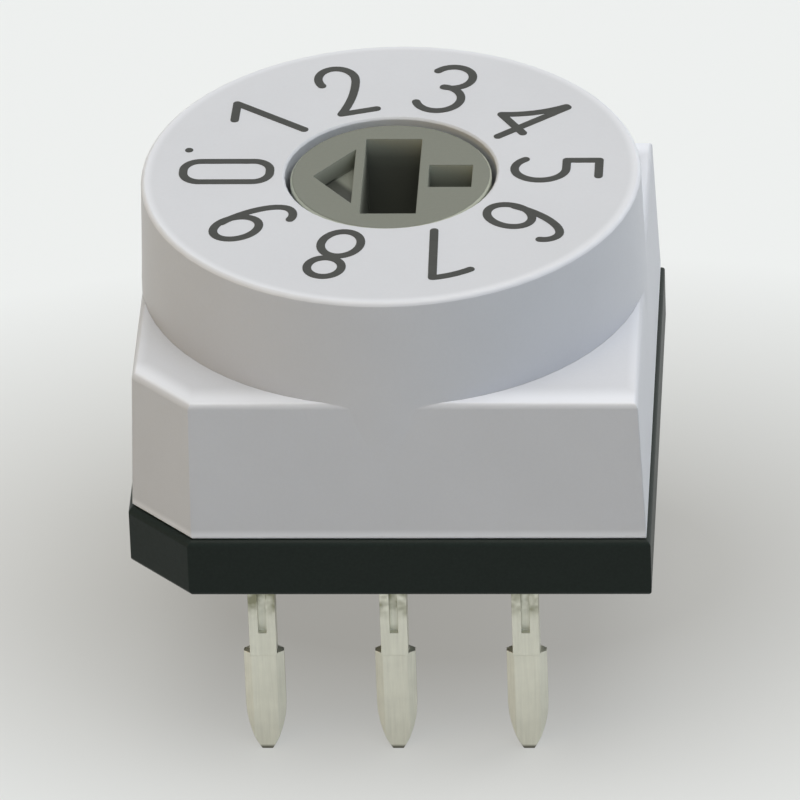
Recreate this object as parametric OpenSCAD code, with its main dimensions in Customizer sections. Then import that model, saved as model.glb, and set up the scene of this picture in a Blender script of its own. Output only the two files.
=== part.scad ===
// Rotary coded DIP switch: a sealed through-hole part set with a screwdriver.
// +Z is up and -Y is the front. The origin is on the seating plane, under the rotor's axis.
// The cut corner at -X -Y marks the first terminal, and the arrow points to position 0 at -X.

/* [Base] */
// Side of the square base plate
base_side = 10.05; // [9.8:0.05:11]
// Height of the base plate's visible edge
base_h = 1.25; // [1.1:0.05:1.6]
// Height of the tray that rises into the housing
tray_h = 0.5; // [0.3:0.05:0.8]
// Rounding of the base plate's edges
base_round = 0.1; // [0.04:0.01:0.2]
// Corner cut that marks the first terminal
corner_cut = 1.2; // [0.8:0.1:1.8]

/* [Housing] */
// Side of the square housing where it meets the base plate
body_side = 9.9; // [9.6:0.02:9.9]
// Mould draft of the housing's flat sides, in degrees
draft = 2.2; // [1:0.1:3]
// Wall of the housing where it meets the base plate
wall = 0.77; // [0.5:0.01:0.8]
// Height of the shoulder around the drum
shoulder_z = 4.22; // [4.15:0.01:4.6]
// Thickness of the shoulder
shoulder_t = 0.5; // [0.4:0.05:0.55]
// Radius, at the shoulder, of the round drum that carries the dial
drum_r = 4.88; // [4.6:0.01:4.94]
// Mould draft of the drum, in degrees
drum_draft = 2; // [0:0.1:3]
// Height of the dial face
dial_z = 6.45; // [6.2:0.05:7]
// Rounding of the dial's rim
rim_round = 0.07; // [0.05:0.01:0.25]
// Rounding of the housing's shoulder
edge_round = 0.08; // [0.04:0.01:0.15]
// Rounding of the housing's lower edge, along the seam with the base plate
seam_round = 0.06; // [0.03:0.01:0.1]

/* [Rotor] */
// Radius of the rotor's head
head_r = 1.94; // [1.9:0.01:2.2]
// Gap between the rotor's head and its bore
head_gap = 0.1; // [0.05:0.01:0.15]
// Depth of the rotor's face below the dial
head_sink = 0.09; // [0.02:0.01:0.2]
// Width of the screwdriver slot
slot_w = 1.08; // [0.8:0.02:1.2]
// Length of the screwdriver slot
slot_l = 2.76; // [2:0.02:3]
// Depth of the screwdriver slot
slot_depth = 1.75; // [1:0.05:1.8]
// Depth of the arrowhead's recess
arrow_depth = 0.4; // [0.2:0.01:0.5]
// Width across the barbs of the arrowhead
arrow_w = 2; // [1.4:0.02:2]
// Length of the arrowhead
arrow_l = 0.78; // [0.5:0.02:0.8]
// Width of the arrow's tail
tail_w = 0.82; // [0.5:0.02:0.9]
// Length of the arrow's tail
tail_l = 0.84; // [0.5:0.02:0.9]
// Depth of the tail's recess
tail_depth = 0.5; // [0.3:0.01:0.7]
// Radius of the flange that backs the code disc
flange_r = 3.62; // [3.5:0.01:3.7]
// Thickness of the flange
flange_t = 0.3; // [0.25:0.01:0.35]

/* [Detent] */
// Number of switch positions
positions = 10; // [10:2:16]
// Tip radius of the detent wheel
detent_r = 3.3; // [3.2:0.01:3.34]
// Depth of a detent notch
notch_depth = 0.22; // [0.15:0.01:0.25]
// Radius of a detent notch
notch_r = 0.5; // [0.45:0.01:0.55]
// Thickness of a detent spring
spring_t = 0.12; // [0.08:0.01:0.15]
// Height of a detent spring
spring_h = 0.5; // [0.35:0.01:0.55]
// Length of a detent spring
spring_l = 6.2; // [5.8:0.1:6.4]

/* [Seal] */
// Section of the rotor's O-ring
seal_d = 0.68; // [0.55:0.01:0.72]
// Depth of the resin wells under the base
well_depth = 0.55; // [0.4:0.01:0.7]
// Width of the resin wells
well_w = 1.3; // [1.1:0.05:1.5]
// Depth of the resin's surface below the seating plane
resin_sink = 0.06; // [0.02:0.01:0.12]

/* [Terminals] */
// Pitch of the terminals along a row
pitch = 2.54; // [2.5:0.02:2.6]
// Distance between the two rows
row_spacing = 7.62; // [7.5:0.02:7.7]
// Distance from the housing's inner wall to the middle of a terminal's riser
riser_inset = 0.37; // [0.3:0.01:0.45]
// Length of a terminal below the seating plane
leg_l = 4.2; // [3:0.1:5]
// Width of a terminal's leg
leg_w = 0.78; // [0.6:0.02:0.84]
// Thickness of a terminal's leg
leg_t = 0.32; // [0.26:0.01:0.4]
// Length of the leg below its shoulder
blade_l = 2.2; // [1.6:0.1:2.6]
// Length of the point that closes the leg
point_l = 1; // [0.6:0.1:1.2]
// Width of the leg's blunt tip
tip_w = 0.2; // [0.1:0.01:0.3]
// Width of the neck above the shoulder
neck_w = 0.52; // [0.46:0.02:0.58]
// Width of the groove on both faces of the neck
groove_w = 0.16; // [0.1:0.01:0.2]
// Plain stretch between the groove and the shoulder
plain_l = 0.5; // [0.3:0.05:0.8]
// Thickness of the terminals' sheet
sheet_t = 0.16; // [0.12:0.01:0.2]
// Width of a contact finger
finger_w = 0.34; // [0.28:0.01:0.4]

/* [Code] */
// Thickness of the code disc
disc_t = 0.12; // [0.08:0.01:0.15]
// Height between the tray and the code disc
finger_room = 0.85; // [0.75:0.01:0.9]
// Width of a code track
track_w = 0.38; // [0.3:0.01:0.42]
// Distance from one code track to the next
track_step = 0.5; // [0.46:0.01:0.52]
// Radius of the innermost code track
first_track_r = 1.65; // [1.6:0.01:1.7]

/* [Hidden] */

$fn = 64;
over = 1;             // how far a cutting shape reaches past what it cuts
lap = 0.02;           // how far two stretches of one piece run into each other
run_gap = 0.05;       // running clearance round the rotor
seat_gap = 0.04;      // clearance between pieces that are pushed together
thrust_gap = 0.04;    // play of the rotor along its axis
touch_gap = 0.02;     // rest gap between a sprung contact and what it bears on

inner_side = body_side - 2 * wall;
tray_top = base_h + tray_h;
disc_z = tray_top + finger_room;          // underside of the code disc
flange_z = disc_z + disc_t;
wheel_z = flange_z + flange_t;
cavity_top = shoulder_z - shoulder_t;
wheel_rise = 0.25;                        // height of the detent wheel above the cavity
thrust_z = cavity_top + wheel_rise;       // top of the detent wheel
pocket_z = thrust_z + thrust_gap;         // ceiling over the wheel
pocket_r = flange_r + 2 * run_gap;
bore_r = head_r + head_gap;
seal_r = head_r + touch_gap + seal_d / 2; // centre of the O-ring's section
chamber_r = seal_r + seal_d / 2 + touch_gap;
seal_room = 0.12;                         // free height over and under the O-ring
chamber_top = pocket_z + seal_d + seal_room;
head_z = dial_z - head_sink;
slot_floor = head_z - slot_depth;
slot_wall = 0.18;                         // wall between the slot and the arrow's recesses
lip = 0.04;                               // chamfer of the bore's mouth
head_lip = 0.05;                          // chamfer of the rotor's face
pivot_r = 0.58;
pivot_play = 0.15;                        // free height over the pivot
pivot_bore_r = pivot_r + run_gap;
bore_rise = 0.22;                         // height of the pivot's bore above the wheel
pivot_bore_top = thrust_z + bore_rise;
boss_r = 0.7;                             // shoulder round the foot of the pivot
boss_h = 0.5;
disc_bore_r = boss_r + run_gap;
row_y = row_spacing / 2;
riser_y = inner_side / 2 - riser_inset;
foot_l = 0.55;                            // length of a terminal's foot on the tray
foot_y = riser_y - foot_l;                // where a finger leaves the tray
neck_l = leg_l - blade_l;
neck_step = 0.05;                         // step from the neck's face down to the blade's
neck_t = leg_t + 2 * neck_step;
neck_root = well_depth - 0.15;            // top of the neck, inside the resin
step_angle = 360 / positions;
notch_centre = detent_r - notch_depth + notch_r;

// Corners of a square with its marking corner cut, set in from the outline of the given side
function cut_outline(side, inset = 0) =
    let (half = side / 2 - inset, cut = corner_cut - inset * (2 - sqrt(2)))
    [[-half, cut - half], [-half, half], [half, half], [half, -half], [cut - half, -half]];

module cut_square(side, inset = 0) {
    polygon(cut_outline(side, inset));
}

// How far a drafted face has drawn in over a height
function drawn_in(h, angle = draft) = h * tan(angle);

// Block on a cut square whose five sides draw in towards its top
module drafted_block(side, z, h) {
    foot = cut_outline(side);
    top = cut_outline(side, drawn_in(h));
    n = len(foot);
    ring = [for (i = [0 : n - 1]) i];
    polyhedron(
        [for (p = foot) [p.x, p.y, z], for (p = top) [p.x, p.y, z + h]],
        [
            [for (i = ring) n - 1 - i],
            [for (i = ring) n + i],
            for (i = ring) [i, (i + 1) % n, n + (i + 1) % n, n + i]
        ]
    );
}

// Outline that rounds a corner whose solid lies at -X and -Y.
// Its arc meets both sides at a slight angle, and starts at the given distance from the corner.
module corner_profile(start) {
    meet = 18;
    r = start / (cos(meet) - sin(meet));
    centre = -r * cos(meet);
    difference() {
        translate([centre, centre]) square(over - centre);
        translate([centre, centre]) circle(r);
    }
}

// Straight tool that rounds an edge along +X whose solid lies at -Y and -Z
module edge_tool(length, start) {
    rotate([90, 0, 90]) linear_extrude(length, center = true) corner_profile(start);
}

// Rounds the five edges of a cut square at height z, the cut corner's edge a little more.
// They are the edges of its top, or of its underside when flipped.
module round_edges(side, z, start, flipped = false, inset = 0) {
    corner = (side - corner_cut) / sqrt(2) - inset;
    translate([0, 0, z])
        mirror([0, 0, flipped ? 1 : 0]) {
            for (turn = [0 : 90 : 270])
                rotate([0, 0, turn]) translate([0, side / 2 - inset, 0]) edge_tool(side + 2 * over, start);
            rotate([0, 0, 135]) translate([0, corner, 0]) edge_tool(2 * corner_cut, 1.25 * start);
        }
}

// Part of a ring between two radii, from one angle over a sweep
module ring_sector(r_in, r_out, z, h, from, sweep) {
    translate([0, 0, z])
        rotate([0, 0, from])
            rotate_extrude(angle = sweep)
                translate([r_in, 0]) square([r_out - r_in, h]);
}

module ring(r_in, r_out, h) {
    difference() {
        cylinder(h = h, r = r_out);
        translate([0, 0, -over]) cylinder(h = h + 2 * over, r = r_in);
    }
}

// Base

// Places its children at the three terminals of the row at y
module at_row(y) {
    for (column = [-1 : 1])
        translate([column * pitch, y, 0]) children();
}

// Mirrors what is made for the rear row to the front one, where row is -1
module to_row(row) {
    mirror([0, row < 0 ? 1 : 0, 0]) children();
}

// Resin well along a row, which lies a little inward of the terminals
module well(row, z, h) {
    well_end = 0.85;
    well_shift = 0.2;
    translate([0, row * (row_y - well_shift), z + h / 2])
        cube([2 * (pitch + well_end), well_w, h], center = true);
}

riser_w = neck_w;

module base() {
    color([0.13, 0.15, 0.145]) difference() {
        union() {
            difference() {
                linear_extrude(base_h) cut_square(base_side);
                round_edges(base_side, base_h, base_round);
                round_edges(base_side, 0, base_round, flipped = true);
            }
            linear_extrude(tray_top) cut_square(body_side, wall + seat_gap);
            cylinder(h = tray_top + boss_h, r = boss_r);
            cylinder(h = pivot_bore_top - pivot_play, r = pivot_r);
        }
        for (row = [-1, 1]) {
            well(row, -over, well_depth + over);
            at_row(row * riser_y)
                translate([0, 0, tray_top / 2])
                    cube([riser_w + seat_gap, sheet_t + seat_gap, tray_top + over], center = true);
        }
    }
}

// Housing

// Square body up to its rounded shoulder, larger than its drafted faces
module shoulder_block() {
    room = body_side + over;
    difference() {
        translate([-room / 2, -room / 2, base_h - over]) cube([room, room, shoulder_z - base_h + over]);
        round_edges(body_side, shoulder_z, edge_round, inset = drawn_in(shoulder_z - base_h));
    }
}

// Half section of the drum, which draws in from the shoulder to the dial
// and runs straight down below it, until it is inside the flat sides
module drum_profile() {
    top_r = drum_r - drawn_in(dial_z - shoulder_z, drum_draft);
    foot_z = base_h + seam_round;
    difference() {
        polygon([[0, foot_z], [drum_r, foot_z], [drum_r, shoulder_z], [top_r, dial_z], [0, dial_z]]);
        translate([top_r, dial_z]) corner_profile(rim_round);
    }
}

// Outer form of the housing: a square body with five drafted faces, and the drum
module housing_form() {
    difference() {
        union() {
            intersection() {
                drafted_block(body_side, base_h, shoulder_z + over - base_h);
                shoulder_block();
            }
            rotate_extrude() drum_profile();
        }
        round_edges(body_side, base_h, seam_round, flipped = true);
    }
}

spring_room = 0.06;             // free height above a spring
spring_top = cavity_top - spring_room;
leaf_x = notch_centre + run_gap;   // inner face of a leaf at its middle
leaf_sag = inner_side / 2 - seat_gap - spring_t - leaf_x;
leaf_r = ((spring_l / 2) ^ 2 + leaf_sag ^ 2) / (2 * leaf_sag);

// Post and stop that hold one end of a detent spring against the wall
module spring_post() {
    post_l = 0.4;
    post_t = 0.35;
    post_y = spring_l / 2 - post_l;
    post_x = leaf_x + leaf_sag * (post_y / (spring_l / 2)) ^ 2 - seat_gap - post_t;
    post_h = spring_h + spring_room + lap;
    stop_l = inner_side / 2 - post_x + lap;
    translate([post_x, post_y, cavity_top + lap - post_h]) cube([post_t, post_l, post_h]);
    translate([post_x, spring_l / 2 + seat_gap, cavity_top + lap - post_h]) cube([stop_l, post_t, post_h]);
}

module housing() {
    color([0.86, 0.85, 0.86]) union() {
        difference() {
            housing_form();
            translate([0, 0, base_h - over]) linear_extrude(cavity_top - base_h + over)
                cut_square(body_side, wall);
            cylinder(h = pocket_z, r = pocket_r);
            cylinder(h = chamber_top, r = chamber_r);
            cylinder(h = dial_z + over, r = bore_r);
            translate([0, 0, dial_z - lip]) cylinder(h = lip + over, r1 = bore_r, r2 = bore_r + lip + over);
        }
        for (side = [0, 1], end = [0, 1])
            mirror([side, 0, 0]) mirror([0, end, 0]) spring_post();
    }
}

// Rotor

// Recesses of the arrowhead and its tail, each parted from the slot by a thin wall
module arrow_cut() {
    base_x = slot_w / 2 + slot_wall;
    barb = arrow_w / 2;
    translate([0, 0, head_z - arrow_depth])
        linear_extrude(arrow_depth + over)
            polygon([[-base_x - arrow_l, 0], [-base_x, barb], [-base_x, -barb]]);
    translate([base_x, -tail_w / 2, head_z - tail_depth]) cube([tail_l, tail_w, tail_depth + over]);
}

module detent_wheel() {
    root_z = flange_z + flange_t / 2;
    translate([0, 0, root_z])
        linear_extrude(thrust_z - root_z)
            difference() {
                circle(detent_r);
                for (k = [0 : positions - 1])
                    rotate(k * step_angle) translate([notch_centre, 0]) circle(notch_r);
            }
}

module rotor() {
    color([0.49, 0.5, 0.46]) difference() {
        union() {
            translate([0, 0, flange_z]) cylinder(h = flange_t, r = flange_r);
            detent_wheel();
            translate([0, 0, wheel_z]) cylinder(h = head_z - head_lip - wheel_z, r = head_r);
            translate([0, 0, head_z - head_lip]) cylinder(h = head_lip, r1 = head_r, r2 = head_r - head_lip);
            code_windows(disc_z, disc_t + flange_t / 3, seat_gap);
        }
        translate([0, 0, disc_z - over]) cylinder(h = pivot_bore_top - disc_z + over, r = pivot_bore_r);
        translate([-slot_w / 2, -slot_l / 2, slot_floor]) cube([slot_w, slot_l, slot_depth + over]);
        arrow_cut();
    }
}

// Code disc

disc_inset = 0.1;     // how far the disc's rim lies inside the flange's

BITS = [1, 2, 4, 8];
function bit_index(bit) = round(ln(bit) / ln(2));
function track_r(bit) = first_track_r + bit_index(bit) * track_step;
function is_off(k, bit) = floor((k % positions) / bit) % 2 == 0;
function run_length(k, bit) = is_off(k, bit) ? 1 + run_length(k + 1, bit) : 0;

// Openings of the code disc: one for each run of positions at which a bit is off
module code_windows(z, h, shrink = 0) {
    for (bit = BITS, k = [0 : positions - 1])
        if (is_off(k, bit) && !is_off(k + positions - 1, bit)) {
            r = track_r(bit);
            slack = shrink / r * 180 / PI;
            ring_sector(
                r - track_w / 2 + shrink, r + track_w / 2 - shrink, z, h,
                finger_angle(bit) + (k - 0.5) * step_angle + slack,
                run_length(k, bit) * step_angle - 2 * slack
            );
        }
}

module code_disc() {
    color([0.86, 0.72, 0.36]) difference() {
        translate([0, 0, disc_z]) ring(disc_bore_r, flange_r - disc_inset, disc_t);
        code_windows(disc_z - over, disc_t + 2 * over);
    }
}

// Terminals

// Where each bit's terminal stands, and the line along Y that its finger follows
function column(bit) = bit == 1 || bit == 2 ? -1 : 1;
function row(bit) = bit == 1 || bit == 4 ? -1 : 1;
function finger_x(bit) = column(bit) * min(pitch, reach_share * track_r(bit));
function finger_y(bit) = row(bit) * sqrt(track_r(bit) ^ 2 - finger_x(bit) ^ 2);
function finger_angle(bit) = atan2(finger_y(bit), finger_x(bit));

reach_share = 0.86;   // farthest that a finger runs off its track's middle, as a share of the radius
crown_r = 0.16;       // rounding of a finger's contact
arm_w = 0.35;         // width of the arm from a leg's foot to its finger

// Side view of a finger that rises from the tray to a crown under the code disc
module finger_profile(reach) {
    crown_z = disc_z - touch_gap - crown_r;
    rise = crown_z - (tray_top + sheet_t / 2);
    run = foot_y - reach;
    translate([reach, crown_z]) circle(crown_r);
    translate([foot_y, tray_top + sheet_t / 2])
        rotate(180 - atan2(rise, run))
            translate([0, -sheet_t / 2]) square([norm([run, rise]), sheet_t]);
    translate([foot_y - lap, tray_top]) square([arm_w, sheet_t]);
}

// Finger along Y whose contact is at the given distance from the axis
module finger(x, reach) {
    translate([x - finger_w / 2, 0, 0])
        rotate([90, 0, 90])
            linear_extrude(finger_w) finger_profile(reach);
}

// Solder leg under the seating plane: a folded neck, grooved on both faces, over a pointed blade
module leg() {
    groove_depth = 0.12;
    groove_l = neck_l - plain_l;
    difference() {
        translate([-neck_w / 2, -neck_t / 2, -neck_l - lap])
            cube([neck_w, neck_t, lap + neck_l + neck_root]);
        for (face = [-1, 1])
            translate([-groove_w / 2, face * neck_t / 2 - groove_depth, -groove_l])
                cube([groove_w, 2 * groove_depth, groove_l + resin_sink]);
    }
    intersection() {
        translate([0, 0, -leg_l]) linear_extrude(blade_l) blade_section();
        rotate([90, 0, 0]) linear_extrude(2 * leg_t, center = true) blade_front();
    }
}

// Section of a blade, with bevelled long edges
module blade_section() {
    bevel = 0.15;
    half_w = leg_w / 2;
    half_t = leg_t / 2;
    edge = 0.05;
    polygon([
        [-half_w, -edge], [-half_w + bevel, -half_t], [half_w - bevel, -half_t], [half_w, -edge],
        [half_w, edge], [half_w - bevel, half_t], [-half_w + bevel, half_t], [-half_w, edge]
    ]);
}

// Front view of a blade: straight sides that close in arcs to a blunt point
module blade_front() {
    inset = (leg_w - tip_w) / 2;
    arc_r = (point_l ^ 2 + inset ^ 2) / (2 * inset);
    arc_z = point_l - leg_l;
    translate([-leg_w / 2, arc_z]) square([leg_w, blade_l - point_l]);
    intersection() {
        translate([-leg_w / 2, -leg_l]) square([leg_w, point_l + lap]);
        translate([leg_w / 2 - arc_r, arc_z]) circle(arc_r);
        translate([arc_r - leg_w / 2, arc_z]) circle(arc_r);
    }
}

// Sheet that steps from a leg's root to its riser inside the well, rises through the base,
// and lies down on the tray towards the axis
module riser() {
    step_z = neck_root - sheet_t;
    translate([-riser_w / 2, min(row_y, riser_y) - sheet_t / 2, step_z])
        cube([riser_w, abs(row_y - riser_y) + sheet_t, sheet_t]);
    translate([-riser_w / 2, riser_y - sheet_t / 2, step_z])
        cube([riser_w, sheet_t, tray_top + sheet_t - step_z]);
    translate([-riser_w / 2, foot_y, tray_top]) cube([riser_w, foot_l, sheet_t]);
}

module bit_terminal(bit) {
    leg_x = column(bit) * pitch;
    arm_x = finger_x(bit);
    arm_from = min(leg_x - riser_w / 2, arm_x - finger_w / 2);
    arm_to = max(leg_x + riser_w / 2, arm_x + finger_w / 2);
    color([0.74, 0.74, 0.64]) to_row(row(bit)) {
        translate([leg_x, row_y, 0]) leg();
        translate([leg_x, 0, 0]) riser();
        translate([arm_from, foot_y, tray_top]) cube([arm_to - arm_from, arm_w, sheet_t]);
        finger(arm_x, abs(finger_y(bit)));
    }
}

common_r = (disc_bore_r + track_r(1) - track_w / 2) / 2;   // contact circle of the collector ring

// Both middle legs, joined by straps to a ring round the pivot, with a tongue lanced from each strap
module terminal_common() {
    strap_w = 1.2;
    ring_in = boss_r + seat_gap;
    ring_out = ring_in + 0.5;
    strap_y = (ring_in + ring_out) / 2;
    window_w = finger_w + 0.2;
    window_y = ring_out + 0.25;
    color([0.74, 0.74, 0.64]) {
        translate([0, 0, tray_top]) ring(ring_in, ring_out, sheet_t);
        for (row = [-1, 1])
            to_row(row) {
                translate([0, row_y, 0]) leg();
                riser();
                difference() {
                    translate([-strap_w / 2, strap_y, tray_top])
                        cube([strap_w, foot_y + arm_w - strap_y, sheet_t]);
                    translate([-window_w / 2, window_y, tray_top - over])
                        cube([window_w, foot_y - window_y, sheet_t + 2 * over]);
                }
                finger(0, common_r);
            }
    }
}

// Detent springs

nib_r = 0.42;
nib_x = detent_r - notch_depth + touch_gap + nib_r;

// Round stretch of the spring's strip, seen from above, with its centre on the X axis
module bent_strip(x, r) {
    translate([x, 0])
        difference() {
            circle(r);
            circle(r - spring_t);
        }
}

// Leaf with a rounded nib that sits in a notch of the detent wheel, at +X
module detent_leaf() {
    nib_from = nib_x - nib_r;
    nib_to = leaf_x + spring_t / 2;
    translate([0, 0, spring_top - spring_h])
        linear_extrude(spring_h) {
            difference() {
                intersection() {
                    translate([leaf_x, -spring_l / 2]) square([leaf_sag + spring_t, spring_l]);
                    bent_strip(leaf_x + leaf_r, leaf_r);
                }
                translate([nib_x, 0]) circle(nib_r - spring_t);
            }
            intersection() {
                translate([nib_from, -nib_r]) square([nib_to - nib_from, 2 * nib_r]);
                bent_strip(nib_x, nib_r);
            }
        }
}

module detent_spring(side) {
    color([0.78, 0.78, 0.8]) mirror([side < 0 ? 1 : 0, 0, 0]) detent_leaf();
}

// Seals

module rotor_seal() {
    color([0.2, 0.2, 0.2])
        translate([0, 0, pocket_z + (seal_room + seal_d) / 2])
            rotate_extrude() translate([seal_r, 0]) circle(seal_d / 2);
}

module resin(row) {
    color([0.18, 0.19, 0.18]) difference() {
        well(row, resin_sink, well_depth - resin_sink);
        at_row(row * row_y) cube([neck_w, neck_t, 2 * neck_root], center = true);
        to_row(row) at_row(0) riser();
    }
}

base();
housing();
rotor();
rotor_seal();
code_disc();
detent_spring(-1);  // detent_spring_left
detent_spring(1);  // detent_spring_right
bit_terminal(1);  // terminal_bit_1
bit_terminal(2);  // terminal_bit_2
bit_terminal(4);  // terminal_bit_4
bit_terminal(8);  // terminal_bit_8
terminal_common();
resin(-1);  // resin_front
resin(1);  // resin_rear
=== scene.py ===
"""Looks of a rotary coded DIP switch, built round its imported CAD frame.

The frame is in metres, with +Z up, the front at -Y and the origin on the seating plane.
"""

import math

import bpy
from bpy.props import FloatProperty, FloatVectorProperty, PointerProperty
from mathutils import Matrix, Vector


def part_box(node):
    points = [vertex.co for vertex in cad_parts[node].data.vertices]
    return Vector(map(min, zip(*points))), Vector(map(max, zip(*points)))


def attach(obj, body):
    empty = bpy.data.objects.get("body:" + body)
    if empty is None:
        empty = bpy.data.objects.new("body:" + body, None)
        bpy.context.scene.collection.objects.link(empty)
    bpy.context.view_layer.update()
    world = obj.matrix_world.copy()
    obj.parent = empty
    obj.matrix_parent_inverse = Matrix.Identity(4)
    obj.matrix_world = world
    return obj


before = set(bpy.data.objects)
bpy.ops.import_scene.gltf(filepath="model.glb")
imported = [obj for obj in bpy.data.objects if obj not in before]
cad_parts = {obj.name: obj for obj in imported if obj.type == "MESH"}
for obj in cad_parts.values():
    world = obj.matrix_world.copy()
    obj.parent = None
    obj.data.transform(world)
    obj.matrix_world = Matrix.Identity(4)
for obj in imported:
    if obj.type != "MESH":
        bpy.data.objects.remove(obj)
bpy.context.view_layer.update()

bl_info = {
    "name": "Rotary DIP switch looks",
    "version": (1, 0, 0),
    "blender": (4, 5, 0),
    "location": "3D View > Sidebar > Switch",
    "description": "Dial print, finishes and studio of a rotary coded DIP switch",
    "category": "Object",
}

MM = 0.001
BODY = "switch_body"
DIAL_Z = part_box("housing")[1].z
ROTOR_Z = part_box("rotor")[1].z
FLOOR_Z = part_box("terminal_common")[0].z

# Places on the mouldings, worked out from the part's source and rounded to 0.01 mm
RIM_RADIUS = 4.8 * MM       # the drum at the dial
FOOT_RADIUS = 4.88 * MM     # the drum at the shoulder
SHOULDER_Z = 4.22 * MM
SHOULDER_HALF = 4.84 * MM   # half the housing's width at the shoulder
CORNER_CUT = 1.2 * MM
SEAM_Z = 1.25 * MM          # where the housing meets the base
ARROW_DEPTH = 0.4 * MM
ARROW_RIGHT = -0.65 * MM    # the arrowhead lies to the left of this


def colour(name, description, value):
    """A colour that the sidebar shows, from its linear red, green and blue."""
    return FloatVectorProperty(
        name=name, description=description, default=(*value, 1), subtype="COLOR", size=4, min=0, max=1
    )


def length(name, description, value, smallest=0.0):
    """A length in metres that the sidebar shows in the scene's unit."""
    return FloatProperty(
        name=name, description=description, default=value, min=smallest, unit="LENGTH", precision=6
    )


def angle(name, description, degrees):
    """An angle that the sidebar shows in degrees."""
    return FloatProperty(
        name=name, description=description, default=math.radians(degrees), subtype="ANGLE"
    )


def share(name, description, value):
    """A strength or share without a unit that the sidebar shows."""
    return FloatProperty(name=name, description=description, default=value)


class DialPrintSettings(bpy.types.PropertyGroup):
    """Numerals and dot printed on the dial"""

    height: length("Numeral height", "Height of a numeral along its strokes' middles", 1.67 * MM)
    stroke: length("Stroke width", "Width of the printed strokes", 0.166 * MM, 0.02 * MM)
    ring: length("Ring radius", "Distance from the print's middle to the numerals' middles", 3.2 * MM)
    shift_x: length("Shift right", "How far the print sits off the dial's middle, to the right", 0.04 * MM)
    shift_y: length("Shift back", "How far the print sits off the dial's middle, to the rear", 0.03 * MM)
    film: length("Film", "Thickness of the printed ink", 0.012 * MM, 0.002 * MM)
    dot_radius: length("Dot radius", "Radius of the dot beside the first numeral", 0.08 * MM)
    dot_x: length("Dot left", "Distance of the dot from the dial's middle, to the left", 3.93 * MM)
    dot_y: length("Dot back", "Distance of the dot from the dial's middle, to the rear", 0.83 * MM)
    ink: colour("Ink", "Colour of the printing ink", (0.032, 0.034, 0.031))


class FinishSettings(bpy.types.PropertyGroup):
    """Colours and surfaces of the moulded, metal and cast parts"""

    housing: colour("Housing", "Light cool grey moulding", (0.634, 0.66, 0.722))
    base: colour("Base", "Black moulding", (0.0125, 0.019, 0.0165))
    rotor: colour("Rotor", "Grey-green moulding", (0.192, 0.205, 0.178))
    tin: colour("Tin", "Satin tin plating of the terminals", (0.8, 0.8, 0.7))
    gold: colour("Gold", "Plating of the code disc", (0.83, 0.6, 0.27))
    steel: colour("Steel", "Rolled steel of the detent springs", (0.56, 0.56, 0.55))
    rubber: colour("Rubber", "O-ring", (0.022, 0.022, 0.022))
    resin: colour("Resin", "Cast sealing resin", (0.03, 0.031, 0.027))
    grain: length("Grain", "Size of the moulded surface's grain", 0.07 * MM, 0.005 * MM)
    soft_edge: length("Soft edge", "Radius at which sharp edges catch the light", 0.035 * MM)
    # The pale band is a painted highlight along the housing's rim, shoulder and seam.
    highlight_band: length("Pale band", "Width of the paler band along the housing's edges", 0.35 * MM)


class StageSettings(bpy.types.PropertyGroup):
    """Camera, floor and lamps"""

    distance: length("Camera distance", "Distance of the camera from what it looks at", 0.2209)
    lens: FloatProperty(name="Lens", description="Focal length in millimetres", default=511.5, min=50)
    elevation: angle("Elevation", "Height of the camera over the horizon", 32.256)
    turn: angle("Turn", "How far the camera stands to the right of the front", 3.823)
    roll: angle("Roll", "How far the camera is tilted clockwise", 2.133)
    aim_z: length("Aim height", "Height above the seating plane that the camera looks at", 1.274 * MM)
    aim_x: length("Aim right", "How far right of the axis the camera looks", 0.0146 * MM)
    floor: colour("Floor", "Plain pale floor, as it takes the light", (0.68, 0.705, 0.725))
    glow: colour("Floor glow", "Glow of the floor far from the switch", (0.945, 0.97, 0.965))
    # Floor shade is a painted shadow in the floor's glow round the switch.
    shade: colour("Floor shade", "Glow of the floor round the switch", (0.475, 0.467, 0.44))
    glow_share: share("Glow share", "Share of the glow in what is seen of the floor", 0.68)
    backdrop: colour("Backdrop", "What is seen behind the floor", (0.86, 0.885, 0.885))
    sky: colour("Sky", "Colour of the light from all round", (0.93, 0.975, 1.0))
    warm_sky: colour("Warm sky", "Colour of the light from the front left", (1.0, 0.75, 0.3))
    sky_level: share("Sky level", "Strength of the light from all round", 0.14)
    sky_slope: FloatVectorProperty(
        name="Sky slope", description="Gain of the light towards the right, the rear and overhead",
        default=(0.2, 0.8, 0.8),
    )
    key_level: share("Key level", "Share of light from overhead", 0.575)
    right_level: share("Right level", "Share of light from the right", 0.15)
    side_level: share("Side level", "Share of light from the right and behind", 0.17)
    rear_level: share("Rear level", "Share of light from the rear", 0.1)
    cool_level: share("Cool level", "Share of cool light from low on the front right", 0.055)
    warm_level: share("Warm level", "Share of warm light from low on the left", 0.11)


# Selecting and shaping

def select_only(obj):
    """Deselects everything, then selects one object and makes it active."""
    bpy.ops.object.select_all(action="DESELECT")
    obj.select_set(True)
    bpy.context.view_layer.objects.active = obj


def apply_modifier(obj, kind, **settings):
    """Adds a modifier with these settings and applies it."""
    modifier = obj.modifiers.new(kind.title(), kind)
    for key, value in settings.items():
        setattr(modifier, key, value)
    select_only(obj)
    bpy.ops.object.modifier_apply(modifier=modifier.name)


def clean_mesh(obj, merge):
    """Merges doubled corners and turns all faces outwards."""
    select_only(obj)
    bpy.ops.object.mode_set(mode="EDIT")
    bpy.ops.mesh.select_all(action="SELECT")
    bpy.ops.mesh.remove_doubles(threshold=merge)
    bpy.ops.mesh.normals_make_consistent(inside=False)
    bpy.ops.object.mode_set(mode="OBJECT")


def settle(obj, matrix):
    """Moves a mesh to its place, with its object at the origin."""
    select_only(obj)
    obj.matrix_world = matrix
    bpy.ops.object.transform_apply(location=True, rotation=True, scale=True)


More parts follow.
